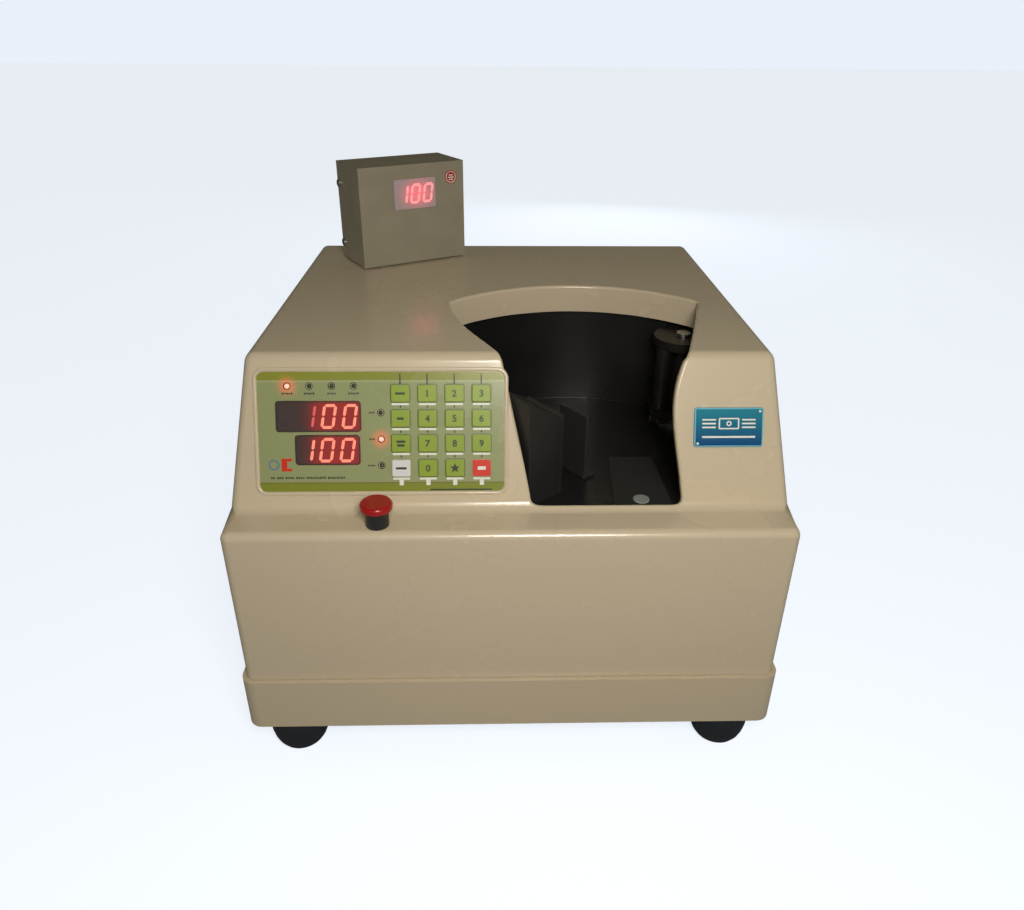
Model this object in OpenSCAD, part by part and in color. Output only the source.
// Banknote bundle counting machine: a one-piece moulded casing on a base pan with rubber feet.
// The note pocket holds a strapped bundle upright in a clamp, and a vacuum head counts it leaf by leaf.
// Origin: on the floor, at the centre of the base pan. +X is the operator's right, +Y the back, +Z up.

/* [Casing] */
// Width of the casing
body_w = 328; // [322:2:420]
// Depth of the casing
body_d = 309; // [306:2:400]
// Height of the front ledge above the underside of the base pan
ledge_h = 144; // [140:1:180]
// Depth of the front ledge, from the front face to the foot of the sloping panel
ledge_d = 25; // [24:0.5:30]
// Height of the casing's top above the underside of the base pan
casing_h = 228; // [224:1:290]
// How far the sloping panel leans back from its foot to the top
panel_run = 34; // [30:1:40]
// How much narrower each side is at the top than at the ledge
side_lean = 12; // [6:0.5:14]
// Thickness of the moulded shell
wall = 3; // [2.5:0.5:4]
// Radius of the casing's outside edges
edge_r = 6; // [5:0.5:9]

/* [Base] */
// Height of the base pan's rim
pan_h = 37; // [30:1:44]
// Sheet thickness of the base pan
pan_t = 2.7; // [2:0.1:3.5]
// Gap between the casing and the base pan's rim
pan_gap = 0.5; // [0.3:0.1:1]
// Height of the rubber feet
foot_h = 28; // [20:1:40]
// Radius of the rubber feet
foot_r = 19; // [15:0.5:22]

/* [Note pocket] */
// Middle of the arc swept by the free ends of the notes, from the casing's middle and from its front
sweep = [45, 77]; // [0:1:120]
// Radius of that arc, which is the pocket's rear edge
sweep_r = 114; // [110:1:118]
// Height of the turned-down lip along the arc
lip_h = 19; // [12:1:24]
// Depth of the pocket's floor below the front ledge
floor_drop = 6; // [5:0.5:12]
// Sheet thickness of the pocket tray
tray_t = 1.2; // [1:0.1:2]
// Distance from the pocket's edge to the tray's wall
tray_gap = 4.5; // [4:0.5:6]

/* [Counting head] */
// Axis of the head, from the casing's middle and from its front
head_at = [121, 152]; // [0:1:200]
// Radius of the circle that the suction spindles stand on
spindle_pcr = 16; // [15:0.5:17]
// Radius of a suction spindle
spindle_r = 5.5; // [4:0.5:6]
// Number of teeth on the fixed sun gear
sun_teeth = 24; // [24]
// Number of teeth on each spindle's gear
planet_teeth = 12; // [12]
// Radius of the head's shaft
shaft_r = 5; // [4:0.5:5.5]
// Pitch radius of the head's pulley
head_pulley_r = 22; // [18:1:24]
// Pitch radius of the motor's pulley
motor_pulley_r = 9; // [8:0.5:11]
// Axis of the head motor, from the casing's middle and from its front
motor_at = [78, 232]; // [0:1:260]

/* [Control panel] */
// Width and height of the recessed overlay
overlay = [141, 69]; // [60:1:160]
// Left edge of the overlay from the casing's middle, and its lower edge up the panel
overlay_at = [-145.5, 11.5]; // [-150:0.5:20]
// Thickness of the overlay and depth of its recess
overlay_t = 1; // [0.8:0.1:1.4]
// Width and height of a key
key = [10.4, 9.6]; // [8:0.1:11]
// Distance between key columns and between key rows
key_pitch = [15.5, 14.4]; // [12.5:0.1:16]
// Middle of the lower left key, from the casing's middle and up the panel
key_at = [-64, 24.9]; // [-70:0.1:30]
// How far a key goes in
key_travel = 0.8; // [0.5:0.1:1]
// Width and height of the upper display window
upper_window = [49, 18]; // [40:0.5:52]
// Width and height of the lower display window
lower_window = [37.5, 17.6]; // [30:0.5:40]

/* [Push button] */
// Middle of the start button, from the casing's middle and from its front
button_at = [-76.5, 10.5]; // [-140:0.5:140]
// Radius of the button's cap
cap_r = 9.3; // [8:0.1:11]
// Radius of the button's neck
neck_r = 6.7; // [5:0.1:7]
// How far the button goes down
button_travel = 1.2; // [1:0.1:3]

/* [Customer display] */
// Width, depth and height of the customer display's box
unit = [85, 44, 74]; // [40:1:100]
// Axis that the display turns on, from the casing's middle and from its front
unit_at = [-80.5, 270.5]; // [-120:0.5:280]
// Angle that the display is turned to, towards the operator's right
unit_turn = 29.5; // [0:0.5:45]
// Sheet thickness of the display's box
unit_t = 1.5; // [1:0.1:2]

/* [Fits] */
// Radial clearance of a turning or sliding fit
run_fit = 0.05; // [0.02:0.01:0.1]
// Radial clearance of a piece fixed in its seat
seat_fit = 0.02; // [0.01:0.01:0.05]
// Gap between moving pieces that never touch
free_gap = 0.3; // [0.2:0.05:0.5]

/* [Hidden] */
KEY_FIRST = 30;
$fn = 48;
HULL_FN = 28;
eps = 0.01;

// Levels and planes
front_y = -body_d / 2;
back_y = body_d / 2;
pan_z = foot_h;
pan_floor_z = pan_z + pan_t;
ledge_z = pan_z + ledge_h;
top_z = pan_z + casing_h;
panel_rise = casing_h - ledge_h;
slope = atan2(panel_rise, panel_run);
// How far a faceted ball reaches towards the panel, as a share of its radius
ball_step = 360 / HULL_FN;
ball_off = 90 - slope - (floor((90 - slope) / ball_step) + 0.5) * ball_step;
slope_reach = cos(ball_off) / cos(ball_step / 2);
panel_len = norm([panel_rise, panel_run]);
panel_y = front_y + ledge_d;
case_foot_z = pan_floor_z + 3;
pan_proud = pan_gap + pan_t;
pan_w = body_w + 2 * pan_proud;
pan_d = body_d + 2 * pan_proud;
lean = atan2(side_lean, panel_rise);
upper_step = 0.4;

// Pocket
floor_z = ledge_z - floor_drop;
lip_step = 0.4;
sweep_a = [43, 137.6];
open_foot = [10.7, 99.8];
open_top = [-6.2, 101.5];
open_r = [8, 6];
plate_z = floor_z + 1;

// Head, from the tray's floor upwards
tray_low_z = floor_z - 2;
deck_z = floor_z - 36;
deck_t = 2.5;
gear_m = spindle_pcr * 2 / (sun_teeth + planet_teeth);
sun_z = floor_z + 5;
gear_t = 4;
disc_z = sun_z + gear_t + 1.2;
disc_t = 6;
disc_r = 20;
spindle_low_z = disc_z + disc_t;
shaft_proud = 2;
spindle_top_z = top_z - lip_h - disc_t - shaft_proud - 2;
journal_r = 2.5;
bearing = [11, 6];
housing_r = bearing[0] + 2;
pulley_z = deck_z - 13;
pulley_w = 8;
shaft_z = pulley_z - 10;
shaft_top_z = spindle_top_z + disc_t + shaft_proud;
belt_t = 1.6;
motor_r = 21;
motor_h = 52;
bulge_r = spindle_pcr + spindle_r + 3;

// Panel stack, measured inwards from the outer face
board_in = 9.5;
board_t = 1.6;
switch_h = 3.3;
led_r = 1.5;
led_in = 9.5;
led_out = 0.8;
led_row_s = 72.4;
led_xs = [-128.4, -115.9, -103.1, -90.6];
side_led_x = -75.3;
side_led_ss = [57.1, 41.8, 26.5];
upper_mid = [-111, 55];
lower_mid = [-106.1, 35.6];
key_out = 1.2;
key_skirt = 0.5;
badge = [40.5, 23];
badge_mid = [126, 48];
badge_t = 1.2;
win_margin = 6;

// Push button
cap_z = ledge_z + 10.5;
cap_h = 4.6;
neck_z = ledge_z + 12;
stem_r = 3;
bush_r = neck_r - 1.2;

// Clamp, in a frame turned so that its own X is the closing direction
clamp_turn = 36;
clamp_origin = [28, 51];
clamp_h = 54;
jaw_t = 4;
jaw_len = 34;
jaw_gap = 22;
jaw_travel = 14;
rod_r = 2.5;

// Rear panel
rear_cut = [150, 78];
rear_lap = 6;
rear_mid_z = ledge_z - 3 * edge_r - 1 - rear_lap - rear_cut[1] / 2;
rear_t = 1.5;
inlet_x = 42;
inlet_z = rear_mid_z - 8;
inlet_depth = 22;
screw_r = 2;
screw_head = [3.6, 2];
foot_at = [body_w / 2 - 25, body_d / 2 - 16];

// Customer display
unit_z = top_z + 1.2;
stud_r = 6;
unit_win = [34, 22];
unit_win_mid = [1.5, 51];
unit_board_in = 14;

// ---- helpers ----
function bez(a, b, c, d, t) =
    pow(1 - t, 3) * a + 3 * pow(1 - t, 2) * t * b + 3 * (1 - t) * t * t * c + pow(t, 3) * d;
function curve(a, b, c, d, n) = [for (i = [0 : n]) bez(a, b, c, d, i / n)];
function arc(mid, r, a0, a1, n) =
    [for (i = [0 : n]) let (a = a0 + (a1 - a0) * i / n) mid + r * [cos(a), sin(a)]];
function half_w(z) = body_w / 2 - side_lean * max(0, z - ledge_z) / panel_rise;
function slope_y(z) = panel_y + (z - ledge_z) / tan(slope);
function from_front(p) = [p[0], front_y + p[1]];

module round_rect(size, r) {
    translate([-size[0] / 2 + r, -size[1] / 2]) square([size[0] - 2 * r, size[1]]);
    translate([-size[0] / 2, -size[1] / 2 + r]) square([size[0], size[1] - 2 * r]);
    for (x = [-1, 1], y = [-1, 1])
        translate([x * (size[0] / 2 - r), y * (size[1] / 2 - r)]) circle(r);
}

// Places its children on the sloping panel: X across, Y up the slope, Z outwards
module on_panel() {
    translate([0, panel_y, ledge_z]) rotate([slope, 0, 0]) children();
}

module box(low, high) {
    translate(low) cube(high - low);
}

module tube(r, bore, h) {
    difference() {
        cylinder(r = r, h = h);
        translate([0, 0, -eps]) cylinder(r = bore, h = h + 2 * eps);
    }
}

// ---- casing ----
// A ball whose faceted surface reaches its full radius along each axis
module ball(r) {
    sphere(r / cos(180 / HULL_FN), $fn = HULL_FN);
}

module lower_block(inset, foot) {
    hull()
        for (x = [-1, 1], y = [-1, 1])
            translate([x * (body_w / 2 - edge_r), y * (body_d / 2 - edge_r), 0]) {
                translate([0, 0, ledge_z - edge_r]) ball(edge_r - inset);
                translate([0, 0, foot]) cylinder(r = edge_r - inset, h = 1, $fn = HULL_FN);
            }
}

module upper_block(inset) {
    hull()
        for (x = [-1, 1], z = [ledge_z - 2 * edge_r, top_z - edge_r])
            for (y = [slope_y(z) + edge_r * slope_reach / sin(slope), back_y - edge_r - upper_step])
                translate([x * (half_w(z) - edge_r / cos(lean) - upper_step), y, z])
                    ball(edge_r - inset);
}

// The part of the note opening that is cut through the sloping panel
module panel_opening() {
    left = curve([open_foot[0], open_r[0] + 0.5], [6.5, 32], [-0.5, 62], [open_top[0], panel_len], 12);
    right = curve([open_top[1], panel_len], [87.5, 62], [97, 40], [open_foot[1], open_r[1] + 0.5], 14);
    foot_r_arc = arc([open_foot[1] - open_r[1], open_r[1] + 0.5], open_r[1], 0, -90, 6);
    foot_l_arc = arc([open_foot[0] + open_r[0], open_r[0] + 0.5], open_r[0], 270, 180, 6);
    on_panel() translate([0, 0, -2 * wall]) linear_extrude(4 * wall)
        polygon(concat(left, [[open_top[0], panel_len + edge_r], [open_top[1], panel_len + edge_r]],
            right, foot_r_arc, foot_l_arc));
}

// The pocket's edge in plan behind the panel, grown outwards by gap
function pocket_edge(gap) =
    let (
        y0 = ledge_d + panel_run,
        l_end = sweep + (sweep_r + gap) * [cos(sweep_a[1]), sin(sweep_a[1])],
        r_end = sweep + (sweep_r + gap) * [cos(sweep_a[0]), sin(sweep_a[0])],
        left = curve([open_top[0] - gap, y0], [-12 - gap, y0 + 19], [-37 - gap, y0 + 53], l_end, 12),
        right = curve(r_end, [120 + gap, y0 + 59], [106 + gap, y0 + 16], [open_top[1] + gap, y0], 12)
    ) concat(left, arc(sweep, sweep_r + gap, sweep_a[1], sweep_a[0], 24), right);

module top_opening() {
    edge = pocket_edge(0);
    translate([0, front_y, top_z - 3 * wall]) linear_extrude(4 * wall)
        polygon(concat([[open_top[0], ledge_d + panel_run - edge_r]], edge,
            [[open_top[1], ledge_d + panel_run - edge_r]]));
}

module lip() {
    outer = arc(sweep, sweep_r + lip_step + wall, sweep_a[0], sweep_a[1], 24);
    inner = arc(sweep, sweep_r + lip_step, sweep_a[1], sweep_a[0], 24);
    translate([0, front_y, top_z - lip_h]) linear_extrude(lip_h - wall / 2) polygon(concat(outer, inner));
}

module casing() {
    color("wheat") {
        difference() {
            union() {
                lower_block(0, case_foot_z);
                upper_block(0);
            }
            lower_block(wall, case_foot_z - 2);
            upper_block(wall);
            panel_opening();
            top_opening();
            on_panel() translate([overlay_at[0] + overlay[0] / 2, overlay_at[1] + overlay[1] / 2, 0]) {
                translate([0, 0, -overlay_t]) linear_extrude(3)
                    round_rect(overlay + [2 * free_gap, 2 * free_gap], 4 + free_gap);
                translate([0, 0, -2 * wall]) linear_extrude(2 * wall)
                    round_rect(overlay - [2 * win_margin, 2 * win_margin - 4], 3);
            }
            translate([button_at[0], front_y + button_at[1], ledge_z - wall - 1])
                cylinder(r = bush_r + run_fit, h = wall + 2);
            translate([unit_at[0], front_y + unit_at[1], top_z - wall - 1])
                cylinder(r = stud_r + seat_fit, h = wall + 2);
            box([-rear_cut[0] / 2, back_y - wall - 1, rear_mid_z - rear_cut[1] / 2],
                [rear_cut[0] / 2, back_y + 1, rear_mid_z + rear_cut[1] / 2]);
            for (p = rear_screws()) translate([p[0], back_y + 1, p[1]]) rotate([90, 0, 0])
                cylinder(r = screw_r + seat_fit, h = wall + 2);
            for (y = side_screw_ys(), s = [-1, 1])
                translate([s * (body_w / 2 + 1), y, side_screw_z()]) rotate([0, -s * 90, 0])
                    cylinder(r = screw_r + seat_fit, h = wall + 2);
        }
        lip();
    }
}

// ---- base ----
function side_screw_ys() = [-body_d / 3, 0, body_d / 3];
function side_screw_z() = pan_z + pan_h * 0.55;
function rear_screws() = [for (x = [-1, 1], z = [-1, 1])
    [x * (rear_cut[0] / 2 + 8), rear_mid_z + z * (rear_cut[1] / 2 - 8)]];

module base_pan() {
    color("tan") difference() {
        translate([0, 0, pan_z]) linear_extrude(pan_h) round_rect([pan_w, pan_d], edge_r + pan_proud);
        translate([0, 0, pan_floor_z]) linear_extrude(pan_h)
            round_rect([pan_w - 2 * pan_t, pan_d - 2 * pan_t], edge_r + pan_gap);
        for (y = side_screw_ys(), s = [-1, 1])
            translate([s * (pan_w / 2 + 1), y, side_screw_z()]) rotate([0, -s * 90, 0])
                cylinder(r = screw_r + 0.3, h = pan_t + 2);
        for (x = [-1, 1], y = [-1, 1]) translate([x * foot_at[0], y * foot_at[1], pan_z - 1])
            cylinder(r = screw_r + 0.3, h = pan_t + 2);
    }
}

module rubber_feet() {
    foot_flat = foot_r * 0.5;
    counter_h = foot_h * 0.45;
    color([0.08, 0.09, 0.11])
        for (x = [-1, 1], y = [-1, 1]) translate([x * foot_at[0], y * foot_at[1], 0]) difference() {
            rotate_extrude() polygon(concat([[0, 0]],
                [for (a = [0 : 15 : 90]) [foot_flat + (foot_r - foot_flat) * sin(a),
                    foot_h * 0.7 * (1 - cos(a))]],
                [[foot_r, foot_h], [0, foot_h]]));
            translate([0, 0, -eps]) cylinder(r = screw_head[0] + 0.6, h = counter_h + eps);
            cylinder(r = screw_r + 0.3, h = foot_h + 1);
        }
}

module m4_screw(len) {
    cylinder(r = screw_head[0], h = screw_head[1]);
    translate([0, 0, -len]) cylinder(r = screw_r, h = len + eps);
}

module m4_screws() {
    color("silver") {
        for (y = side_screw_ys(), s = [-1, 1]) translate([s * pan_w / 2, y, side_screw_z()])
            rotate([0, s * 90, 0]) m4_screw(pan_proud + wall + 2);
        for (p = rear_screws()) translate([p[0], back_y, p[1]])
            rotate([-90, 0, 0]) m4_screw(wall + rear_t + 2);
        for (x = [-1, 1], y = [-1, 1]) translate([x * foot_at[0], y * foot_at[1], foot_h * 0.45])
            rotate([180, 0, 0]) m4_screw(foot_h * 0.55 + pan_t + 3);
    }
}

// ---- frame inside ----
module deck_frame() {
    half = body_w / 2 - 11;
    y_low = front_y + 30;
    y_high = back_y - wall - inlet_depth - 2;
    leg_in = 10;
    color("lightsteelblue") difference() {
        union() {
            box([-half, y_low, deck_z], [half, y_high, deck_z + deck_t]);
            for (p = [[62, 44], [62, 120], [-12, 134]]) translate([p[0], front_y + p[1], deck_z])
                cylinder(r = 4, h = tray_low_z - deck_z);
            for (s = [-1, 1]) {
                box([min(s * half, s * (half - deck_t)), y_low, pan_floor_z],
                    [max(s * half, s * (half - deck_t)), y_high, deck_z + deck_t]);
                box([min(s * half, s * (half - leg_in)), y_low, pan_floor_z],
                    [max(s * half, s * (half - leg_in)), y_high, pan_floor_z + deck_t]);
            }
        }
        translate([head_at[0], front_y + head_at[1], deck_z - 1])
            cylinder(r = shaft_r + 1.5, h = deck_t + 2);
        translate([motor_at[0], front_y + motor_at[1], deck_z - 1]) cylinder(r = 6, h = deck_t + 2);
        box([-110, front_y + 60, deck_z - 1], [-50, front_y + 200, deck_z + deck_t + 1]);
    }
}

module rear_panel() {
    inside_y = back_y - wall;
    color("dimgray") difference() {
        box([-rear_cut[0] / 2 - 14, inside_y - rear_t, rear_mid_z - rear_cut[1] / 2 - rear_lap],
            [rear_cut[0] / 2 + 14, inside_y, rear_mid_z + rear_cut[1] / 2 + rear_lap]);
        for (p = rear_screws()) translate([p[0], inside_y + 1, p[1]]) rotate([90, 0, 0])
            cylinder(r = screw_r + seat_fit, h = rear_t + 2);
        box([inlet_x - 14, inside_y - rear_t - 1, inlet_z - 23], [inlet_x + 14, inside_y + 1, inlet_z + 23]);
        for (i = [0 : 6]) box([-62, inside_y - rear_t - 1, rear_mid_z - 28.75 + i * 9],
            [10, inside_y + 1, rear_mid_z - 25.25 + i * 9]);
    }
}

module power_inlet() {
    inside_y = back_y - wall;
    color([0.1, 0.1, 0.1]) translate([inlet_x, inside_y, inlet_z]) difference() {
        union() {
            box([-17, 0, -27], [17, 2.4, 27]);
            box([-13.8, -inlet_depth, -22.8], [13.8, eps, 22.8]);
        }
        box([-11, -14, -19], [11, 3, -3]);
        box([-7.5, -12, 3.5], [7.5, 3, 20.5]);
    }
    color("silver") for (x = [-5, 0, 5])
        translate([inlet_x + x, inside_y - 14 - eps, inlet_z - (x == 0 ? 14 : 9)])
            box([-1, -2, -2], [1, 11, 2]);
}

module power_rocker() {
    inside_y = back_y - wall;
    color([0.12, 0.12, 0.12]) translate([inlet_x, inside_y - 4, inlet_z + 12])
        rotate([-8, 0, 0]) intersection() {
            box([-6.8, -6, -7.4], [6.8, 6.6, 7.4]);
            rotate([0, 90, 0]) translate([0, 0, -7]) cylinder(r = 8, h = 14);
        }
}

// ---- control panel ----
module overlay_holes(extra) {
    for (c = [0 : 3], r = [0 : 3]) translate(key_at + [c * key_pitch[0], r * key_pitch[1]])
        round_rect(key + [2 * extra, 2 * extra], 1 + extra);
    translate(upper_mid) round_rect(upper_window + [2 * seat_fit, 2 * seat_fit], 2);
    translate(lower_mid) round_rect(lower_window + [2 * seat_fit, 2 * seat_fit], 2);
    for (p = led_points()) translate(p) circle(led_r + 0.1);
}

function led_points() = concat([for (x = led_xs) [x, led_row_s]], [for (s = side_led_ss) [side_led_x, s]]);

module panel_overlay() {
    color([0.58, 0.61, 0.42]) on_panel() translate([0, 0, -overlay_t]) linear_extrude(overlay_t)
        difference() {
            translate(overlay_at + overlay / 2) round_rect(overlay, 4);
            overlay_holes(0.2);
        }
}

module display_windows() {
    color([0.15, 0.02, 0.02]) on_panel() translate([0, 0, -overlay_t - 0.2]) linear_extrude(overlay_t + 0.4) {
        translate(upper_mid) round_rect(upper_window, 2);
        translate(lower_mid) round_rect(lower_window, 2);
    }
}

module led_displays() {
    front_in = overlay_t + 0.5;
    color("black") on_panel() translate([0, 0, -board_in]) linear_extrude(board_in - front_in) {
        translate(upper_mid) square(upper_window, center = true);
        translate(lower_mid) square(lower_window, center = true);
    }
}

module status_leds() {
    color("darkred") on_panel() for (p = led_points()) translate([p[0], p[1], -led_in]) {
        cylinder(r = led_r, h = led_in + led_out - led_r);
        translate([0, 0, led_in + led_out - led_r]) sphere(led_r);
    }
}

module panel_board() {
    left = overlay_at[0] + 0.5;
    right = key_at[0] + 3 * key_pitch[0] + 3;
    low = overlay_at[1] - 1;
    high = overlay_at[1] + overlay[1] + 1;
    color("darkgreen") on_panel() {
        translate([left, low, -board_in - board_t]) cube([right - left, high - low, board_t]);
        for (x = [left + 3, right - 14], y = [low + 2.5, high - 2.5])
            translate([x, y, -board_in - eps]) cylinder(r = 1.8, h = board_in - wall - 0.05 + eps);
        for (c = [0 : 3], r = [0 : 3])
            translate([key_at[0] + c * key_pitch[0], key_at[1] + r * key_pitch[1], -board_in - eps]) {
                translate([-3, -3, 0]) cube([6, 6, switch_h - 0.8]);
                cylinder(r = 1.7, h = switch_h);
            }
    }
}

// One key: a cap through the overlay, a skirt that keeps it in, and a plunger over its switch
module key_cap(i, tint) {
    at = key_at + [(i % 4) * key_pitch[0], (3 - floor(i / 4)) * key_pitch[1]];
    skirt_in = overlay_t + 0.2;
    plunger = board_in - switch_h - key_travel - 0.2;
    color(tint) on_panel() translate(at) {
        translate([0, 0, -skirt_in - 0.4]) linear_extrude(skirt_in + 0.4 + key_out) round_rect(key, 1);
        translate([0, 0, -skirt_in - 0.8]) linear_extrude(0.8)
            round_rect(key + [2 * key_skirt, 2 * key_skirt], 1.2);
        translate([0, 0, -plunger]) cylinder(r = 2, h = plunger - skirt_in);
    }
}

module badge_plate() {
    color("royalblue") on_panel() translate(badge_mid) linear_extrude(badge_t) round_rect(badge, 1.5);
}

// ---- push button ----
module at_button() {
    translate([button_at[0], front_y + button_at[1], 0]) children();
}

module button_bushing() {
    under = ledge_z - wall;
    color([0.09, 0.09, 0.1]) at_button() difference() {
        union() {
            translate([0, 0, ledge_z]) cylinder(r = neck_r, h = neck_z - ledge_z);
            translate([0, 0, under - 10]) cylinder(r = bush_r, h = wall + 10 + eps);
            translate([0, 0, under - 4.8]) cylinder(r = neck_r + 0.7, h = 4, $fn = 6);
        }
        translate([0, 0, under - 11]) cylinder(r = stem_r + run_fit, h = neck_z - under + 12);
    }
}

module button_cap() {
    stem_low = ledge_z - wall - 10 - free_gap;
    color("firebrick") at_button() {
        difference() {
            translate([0, 0, cap_z]) rotate_extrude() polygon(concat([[0, 0], [cap_r - 1.2, 0]],
                arc([cap_r - 1.2, 1.2], 1.2, -90, 0, 4), arc([cap_r - 2, cap_h - 2], 2, 0, 80, 5),
                [[0, cap_h]]));
            translate([0, 0, cap_z - eps])
                cylinder(r = neck_r + free_gap, h = neck_z + button_travel + free_gap - cap_z);
        }
        translate([0, 0, stem_low]) cylinder(r = stem_r, h = cap_z + cap_h - 1 - stem_low);
    }
}

module button_switch() {
    low = ledge_z - wall - 10 - free_gap - button_travel - 0.4;
    color("black") at_button() {
        translate([-10, -4, low - 16]) cube([20, 8, 13]);
        translate([-3, -2, low - 3 - eps]) cube([6, 4, 3]);
        translate([-10, 3.9, low - 14]) cube([20, 6.6, 2]);
        translate([-10, 8.5, low - 14]) cube([20, 2, ledge_z - wall - low + 14]);
    }
}

// ---- note pocket ----
function tray_edge(gap) = concat([[open_foot[0] - gap, ledge_d + 10.5 - gap]], pocket_edge(gap),
    [[open_foot[1] + gap, ledge_d + 10.5 - gap]]);

// The tray's body in plan, with the round bay that the head stands in
module tray_block(gap, low) {
    translate([0, front_y, low]) union() {
        linear_extrude(top_z) polygon(tray_edge(gap));
        translate(head_at) cylinder(r = bulge_r + gap - tray_gap, h = top_z);
    }
}

// Everything behind the sloping panel's inner face, with a gap
module behind_panel(gap) {
    off = (wall + gap) / sin(slope);
    low = tray_low_z - 1;
    rotate([90, 0, 90]) translate([0, 0, -body_w]) linear_extrude(2 * body_w)
        polygon([[slope_y(low) + off, low], [back_y, low], [back_y, top_z - wall - gap],
            [slope_y(top_z - wall - gap) + off, top_z - wall - gap]]);
}

module pocket_tray() {
    color([0.07, 0.07, 0.07]) difference() {
        intersection() {
            tray_block(tray_gap + tray_t, tray_low_z);
            behind_panel(0.6);
        }
        tray_block(tray_gap, floor_z);
        box([-body_w, front_y, ledge_z - 1], [body_w, front_y + ledge_d + 6, top_z]);
        at_head(tray_low_z - 1) cylinder(r = housing_r + free_gap, h = 6);
    }
}

module floor_plate() {
    x_low = clamp_origin[0] + 34;
    color([0.2, 0.2, 0.2]) difference() {
        translate([0, front_y, floor_z]) linear_extrude(plate_z - floor_z) polygon([
            [x_low, ledge_d + 9], [open_foot[1] - 2, ledge_d + 9], [open_top[1] - 6, ledge_d + 73],
            [x_low + 4, ledge_d + 73]]);
        translate([79.5, front_y + 44, floor_z - 1]) cylinder(r = 5 + seat_fit, h = 4);
    }
}

module sensor_lens() {
    color("gray") translate([79.5, front_y + 44, floor_z]) cylinder(r = 5, h = 1.4);
}

module in_clamp() {
    translate([clamp_origin[0], front_y + clamp_origin[1], plate_z - 1])
        rotate([0, 0, clamp_turn]) children();
}

// The fixed block at the pocket's left: a wedge with a falling top, bored for the jaw's two rods
module clamp_block() {
    color([0.06, 0.06, 0.06]) in_clamp() difference() {
        rotate([90, 0, 0]) translate([0, 0, -jaw_len]) linear_extrude(jaw_len)
            polygon([[-22, 0], [0, 0], [0, clamp_h], [-22, clamp_h + 13]]);
        for (z = [16, clamp_h - 14]) translate([-23, jaw_len / 2, z]) rotate([0, 90, 0])
            cylinder(r = rod_r + run_fit, h = 24);
    }
}

module clamp_jaw() {
    color([0.12, 0.12, 0.12]) in_clamp() {
        translate([free_gap, 0, free_gap]) cube([jaw_t, jaw_len, clamp_h - 1]);
        for (z = [16, clamp_h - 14]) translate([-21, jaw_len / 2, z]) rotate([0, 90, 0])
            cylinder(r = rod_r, h = 21 + free_gap + eps);
    }
}

module clamp_anvil() {
    x = free_gap + jaw_t + jaw_gap;
    color([0.1, 0.1, 0.1]) in_clamp() {
        translate([x, 4, 0]) cube([3, jaw_len - 8, clamp_h - 10]);
        translate([x, 4, 0]) cube([9, jaw_len - 8, 2.5]);
    }
}

// ---- counting head ----
module at_head(z) {
    translate([head_at[0], front_y + head_at[1], z]) children();
}

module gear(teeth, h, phase) {
    pitch_r = gear_m * teeth / 2;
    root_r = pitch_r - 1.15 * gear_m;
    tip_r = pitch_r + 0.85 * gear_m;
    tooth = 360 / teeth;
    linear_extrude(h) polygon([for (i = [0 : teeth - 1], c = [[root_r, -0.3], [tip_r, -0.12],
        [tip_r, 0.12], [root_r, 0.3]])
            let (a = phase + (i + c[1]) * tooth) c[0] * [cos(a), sin(a)]]);
}

module head_housing() {
    color("gray") at_head(0) difference() {
        union() {
            translate([0, 0, deck_z + deck_t]) cylinder(r = 24, h = 4);
            translate([0, 0, deck_z + deck_t]) cylinder(r = housing_r, h = sun_z - deck_z - deck_t - 1);
            translate([0, 0, sun_z - 1 - eps]) cylinder(r = gear_m * sun_teeth / 2 - 2, h = 1 + 2 * eps);
            translate([0, 0, sun_z]) gear(sun_teeth, gear_t, 180 / sun_teeth);
        }
        translate([0, 0, deck_z]) cylinder(r = shaft_r + 1, h = 80);
        translate([0, 0, deck_z + deck_t - eps]) cylinder(r = bearing[0] + seat_fit, h = bearing[1] + eps);
        translate([0, 0, sun_z - 2.5 - bearing[1]]) cylinder(r = bearing[0] + seat_fit, h = bearing[1]);
    }
}

module head_bearings() {
    color("silver") for (z = [deck_z + deck_t, sun_z - 2.5 - bearing[1]])
        at_head(z) tube(bearing[0], shaft_r + run_fit, bearing[1]);
}

module head_shaft() {
    color("silver") at_head(shaft_z) difference() {
        cylinder(r = shaft_r, h = shaft_top_z - shaft_z);
        translate([0, 0, -eps]) cylinder(r = 2, h = spindle_low_z + 20 - shaft_z);
    }
}

function spindle_angle(i) = 90 + 120 * i;

module head_drum() {
    color([0.16, 0.12, 0.1]) at_head(0) difference() {
        union() {
            translate([0, 0, disc_z]) cylinder(r = disc_r, h = disc_t);
            translate([0, 0, disc_z]) cylinder(r = 9, h = spindle_top_z + disc_t - disc_z);
            translate([0, 0, spindle_top_z]) cylinder(r = disc_r, h = disc_t);
        }
        translate([0, 0, disc_z - 1])
            cylinder(r = shaft_r + seat_fit, h = spindle_top_z + disc_t - disc_z + 2);
        for (i = [0 : 2]) rotate(spindle_angle(i)) translate([spindle_pcr, 0, disc_z - 1])
            cylinder(r = journal_r + run_fit, h = spindle_top_z + disc_t - disc_z + 2);
    }
}

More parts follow.
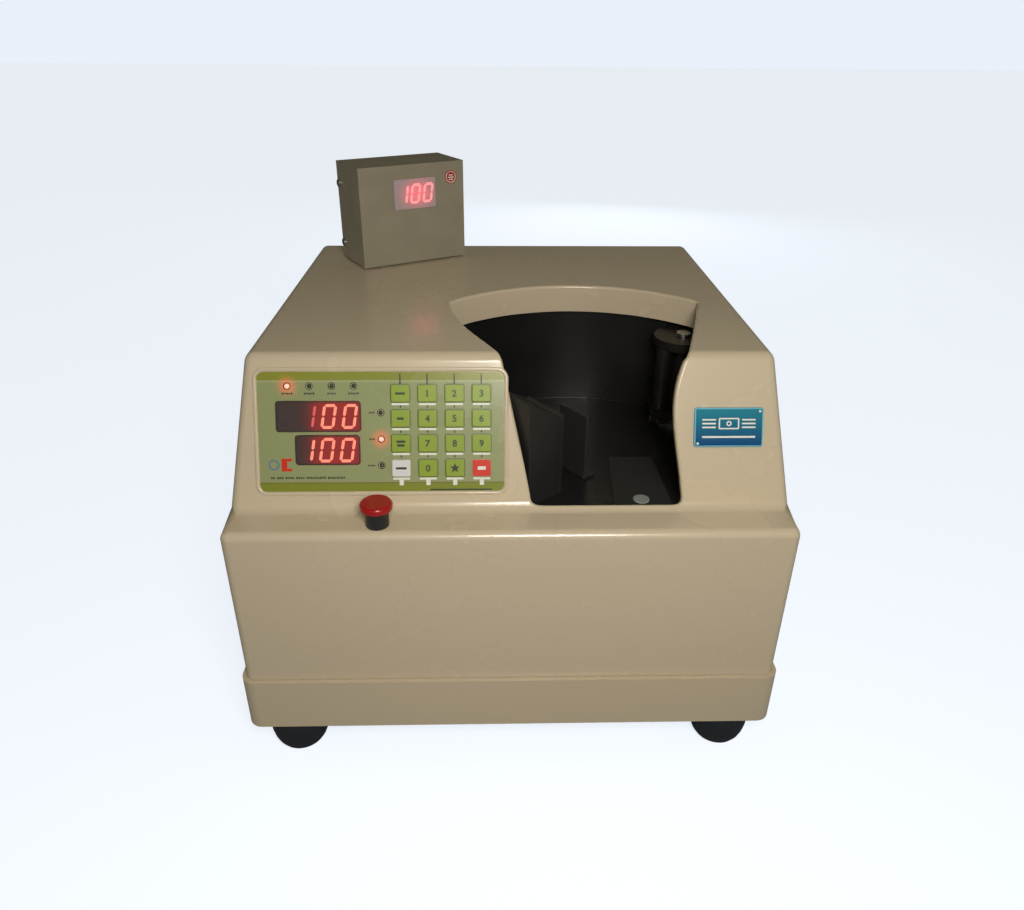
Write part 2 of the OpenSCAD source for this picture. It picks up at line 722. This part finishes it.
module spindle(i) {
    low = sun_z;
    body_low = spindle_low_z + free_gap;
    body_top = spindle_top_z - free_gap;
    a = spindle_angle(i);
    color([0.25, 0.2, 0.17]) at_head(0) rotate(a) translate([spindle_pcr, 0, 0]) {
        translate([0, 0, low]) gear(planet_teeth, gear_t, 0);
        translate([0, 0, low + gear_t - eps]) cylinder(r = journal_r, h = body_low - low - gear_t + 1);
        difference() {
            translate([0, 0, body_low]) cylinder(r = spindle_r, h = body_top - body_low);
            translate([0, 0, body_low + 4]) cylinder(r = spindle_r - 1.5, h = body_top - body_low - 8);
            for (z = [body_low + 14 : 12 : body_top - 16])
                box([0, -1, z], [spindle_r + 1, 1, z + 7]);
        }
        translate([0, 0, body_top - 1]) cylinder(r = journal_r, h = disc_t + free_gap + 1);
    }
}

module head_pulley() {
    color("gray") at_head(pulley_z) difference() {
        union() {
            cylinder(r = head_pulley_r, h = pulley_w);
            translate([0, 0, -1.5]) cylinder(r = head_pulley_r + 2.5, h = 1.5 + eps);
            translate([0, 0, pulley_w - eps]) cylinder(r = head_pulley_r + 2.5, h = 1.5);
        }
        translate([0, 0, -2]) cylinder(r = shaft_r + seat_fit, h = pulley_w + 5);
    }
}

module at_motor(z) {
    translate([motor_at[0], front_y + motor_at[1], z]) children();
}

motor_shaft_r = 2.5;
module head_motor() {
    color("darkgray") at_motor(0) {
        translate([0, 0, deck_z + deck_t]) cylinder(r = motor_r, h = motor_h);
        translate([0, 0, deck_z - 1]) cylinder(r = 5, h = deck_t + 1 + eps);
        translate([0, 0, pulley_z - 2]) cylinder(r = motor_shaft_r, h = deck_z - pulley_z + 2);
        translate([0, 0, deck_z + deck_t + motor_h - eps]) cylinder(r = 8, h = 5);
    }
}

module motor_pulley() {
    color("gray") at_motor(pulley_z) difference() {
        union() {
            cylinder(r = motor_pulley_r, h = pulley_w);
            translate([0, 0, -1.5]) cylinder(r = motor_pulley_r + 2.5, h = 1.5 + eps);
            translate([0, 0, pulley_w - eps]) cylinder(r = motor_pulley_r + 2.5, h = 1.5);
        }
        translate([0, 0, -2]) cylinder(r = motor_shaft_r + run_fit, h = pulley_w + 5);
    }
}

// The belt's path at a distance from both pulleys
function belt_path(grow) =
    let (
        a = head_pulley_r + grow,
        b = motor_pulley_r + grow,
        line = motor_at - head_at,
        ang = atan2(line[1], line[0]),
        k = acos((a - b) / norm(line))
    ) concat(arc(from_front(head_at), a, ang + k, ang + 360 - k, 30),
        arc(from_front(motor_at), b, ang - k, ang + k, 16));

module drive_belt() {
    color([0.1, 0.1, 0.1]) translate([0, 0, pulley_z + 0.5]) linear_extrude(pulley_w - 1) difference() {
        polygon(belt_path(belt_t + free_gap));
        polygon(belt_path(free_gap));
    }
}

// ---- vacuum, power and control ----
pump_at = [-40, 215];
pump_r = 30;
pump_z = pan_floor_z + 38;

module vacuum_pump() {
    color("dimgray") translate([pump_at[0], front_y + pump_at[1], pump_z]) {
        rotate([0, 90, 0]) {
            translate([0, 0, -70]) cylinder(r = pump_r - 3, h = 72);
            translate([0, 0, 2 - eps]) cylinder(r = pump_r, h = 34);
            translate([0, 0, -76]) cylinder(r = 12, h = 8);
        }
        for (x = [-60, -10, 22]) box([x, -26, -38], [x + 6, 26, -18]);
        translate([46, 0, -8]) cylinder(r = fitting_r, h = 16);
        translate([35, 0, 0]) rotate([0, 90, 0]) cylinder(r = 5, h = 8);
    }
    color("dimgray") towards_pump() translate([hose_run - fitting_r - 9, 0, 0]) rotate([0, 90, 0])
        cylinder(r = 3, h = 12);
}

hose_r = 4.5;
hose_bend = 24;
fitting = [pump_at[0] + 46, pump_at[1]];
fitting_r = 9;
hose_run = norm(fitting - head_at);

// Turned about the head's axis so that +X points to the pump's outlet
module towards_pump() {
    line = fitting - head_at;
    at_head(pump_z) rotate([0, 0, atan2(line[1], line[0])]) children();
}

module control_board() {
    color("darkgreen") translate([-88, front_y + 70, pan_floor_z]) {
        translate([-50, -38, 8]) cube([100, 86, 1.6]);
        for (x = [-45, 45], y = [-33, 43]) translate([x, y, 0]) cylinder(r = 3, h = 8 + eps);
        translate([-40, -30, 9.6 - eps]) cube([36, 16, 5]);
        translate([4, -30, 9.6 - eps]) cube([34, 26, 22]);
        translate([-40, 10, 9.6 - eps]) cube([22, 22, 12]);
        translate([10, 24, 9.6 - eps]) cylinder(r = 9, h = 26);
    }
}

module transformer() {
    color("saddlebrown") translate([62, front_y + 84, pan_floor_z]) {
        translate([-36, -16, 0]) cube([72, 32, 60]);
        translate([-22, -28, 10]) cube([44, 56, 40]);
        translate([-46, -16, 0]) cube([92, 32, 2]);
    }
}

// ---- customer display ----
function unit_screw_zs() = [unit[2] * 0.16, unit[2] * 0.76];

module unit_screw_holes(r) {
    for (s = [-1, 1], z = unit_screw_zs()) translate([s * (unit[0] / 2 + 1), unit[1] / 2 - 4.5, z])
        rotate([0, -s * 90, 0]) cylinder(r = r, h = 2 * unit_t + 4);
}

module in_unit() {
    translate([unit_at[0], front_y + unit_at[1], unit_z]) rotate([0, 0, unit_turn]) children();
}

module swivel_stud() {
    color("silver") translate([unit_at[0], front_y + unit_at[1], 0]) difference() {
        union() {
            translate([0, 0, top_z - wall - 12]) cylinder(r = stud_r, h = wall + 12 + 2 + unit_t + 6);
            translate([0, 0, top_z]) cylinder(r = 15, h = unit_z - top_z - free_gap);
            translate([0, 0, top_z - wall - 5]) cylinder(r = 11, h = 5, $fn = 6);
            translate([0, 0, unit_z + unit_t + free_gap]) cylinder(r = 9, h = 4);
        }
        translate([0, 0, top_z - wall - 13]) cylinder(r = 3, h = 60);
    }
}

module display_case() {
    w = unit[0];
    d = unit[1];
    h = unit[2] - 2;
    color([0.36, 0.35, 0.29]) in_unit() difference() {
        box([-w / 2, -d / 2, 0], [w / 2, d / 2 - unit_t - 0.5, h]);
        box([-w / 2 + unit_t, -d / 2 + unit_t, unit_t], [w / 2 - unit_t, d, h - unit_t]);
        translate([0, 0, -1]) cylinder(r = stud_r + run_fit, h = unit_t + 2);
        unit_screw_holes(1.5 + 0.2);
        box([unit_win_mid[0] - unit_win[0] / 2, -d / 2 - 1, unit_win_mid[1] - unit_win[1] / 2],
            [unit_win_mid[0] + unit_win[0] / 2, -d / 2 + unit_t + 1, unit_win_mid[1] + unit_win[1] / 2]);
    }
}

module display_back() {
    w = unit[0];
    d = unit[1];
    h = unit[2] - 2;
    color([0.3, 0.29, 0.25]) in_unit() difference() {
        union() {
            box([-w / 2, d / 2 - unit_t - 0.3, 0], [w / 2, d / 2 - 0.3, h]);
            for (s = [-1, 1]) box([min(s * (w / 2 - unit_t - 0.2), s * (w / 2 - 2 * unit_t)), d / 2 - 12, 4],
                [max(s * (w / 2 - unit_t - 0.2), s * (w / 2 - 2 * unit_t)), d / 2 - unit_t, h - 4]);
        }
        for (i = [0 : 3]) box([-20, d / 2 - 4, 20 + i * 8], [20, d / 2 + 1, 23 + i * 8]);
        unit_screw_holes(1.5 + seat_fit);
    }
}

module display_lens() {
    d = unit[1];
    w = unit_win[0] / 2 - 0.1;
    h = unit_win[1] / 2 - 0.1;
    color([0.8, 0.8, 0.85]) in_unit() box([unit_win_mid[0] - w, -d / 2 - 0.3, unit_win_mid[1] - h],
        [unit_win_mid[0] + w, -d / 2 + unit_t, unit_win_mid[1] + h]);
}

module display_board() {
    d = unit[1];
    color("darkgreen") in_unit() {
        box([-34, -d / 2 + unit_board_in, 30], [34, -d / 2 + unit_board_in + 1.6, 68]);
        box([unit_win_mid[0] - 18.7, -d / 2 + unit_t + 0.5, unit_win_mid[1] - 9.5],
            [unit_win_mid[0] + 18.7, -d / 2 + unit_board_in + eps, unit_win_mid[1] + 9.5]);
        for (x = [-30, 30]) box([x - 3, -d / 2 + unit_t, 32], [x + 3, -d / 2 + unit_board_in + eps, 38]);
    }
}

// The suction hose from the pump's outlet, with the rotary joint round the foot of the head's shaft
module vacuum_hose() {
    color([0.2, 0.2, 0.22]) difference() {
        union() {
            towards_pump() {
                translate([hose_bend, 0, 0]) rotate([0, 90, 0])
                    cylinder(r = hose_r, h = hose_run - fitting_r - 2 - hose_bend);
                translate([hose_bend, 0, hose_bend]) rotate([90, 0, 0]) rotate([0, 0, 180])
                    rotate_extrude(angle = 90) translate([hose_bend, 0]) circle(hose_r);
                translate([0, 0, hose_bend]) cylinder(r = hose_r, h = shaft_z - 7 - pump_z - hose_bend);
            }
            at_head(shaft_z - 8) cylinder(r = shaft_r + 3, h = 13);
        }
        at_head(shaft_z - free_gap) cylinder(r = shaft_r + run_fit, h = 10);
        towards_pump() translate([hose_run - fitting_r - 12, 0, 0]) rotate([0, 90, 0])
            cylinder(r = 3 + seat_fit, h = 12);
    }
}

// Four small screws that hold the display's rear cover
module m3_screws() {
    color("silver") in_unit() for (s = [-1, 1], z = unit_screw_zs())
        translate([s * unit[0] / 2, unit[1] / 2 - 4.5, z]) rotate([0, s * 90, 0]) {
            cylinder(r = 2.6, h = 1.5);
            translate([0, 0, -2 * unit_t - 1]) cylinder(r = 1.5, h = 2 * unit_t + 1 + eps);
        }
}

GREEN = [0.55, 0.64, 0.16];
KEY_TINTS = [for (i = [0 : 15]) i == 12 ? [0.85, 0.85, 0.85] : i == 15 ? [0.8, 0.2, 0.15] : GREEN];

casing();
base_pan();
deck_frame();
rear_panel();
m4_screws();
rubber_feet();
power_inlet();
panel_overlay();
display_windows();
led_displays();
panel_board();
status_leds();
button_bushing();
button_switch();
badge_plate();
pocket_tray();
floor_plate();
sensor_lens();
clamp_block();
clamp_anvil();
head_housing();
head_bearings();
head_motor();
drive_belt();
vacuum_pump();
vacuum_hose();
control_board();
transformer();
swivel_stud();
power_rocker();
for (i = [0 : 15]) key_cap(i, KEY_TINTS[i]);
button_cap();
clamp_jaw();
head_shaft();
head_drum();
head_pulley();
for (i = [0 : 2]) spindle(i);
motor_pulley();
display_case();
display_back();
display_lens();
display_board();
m3_screws();
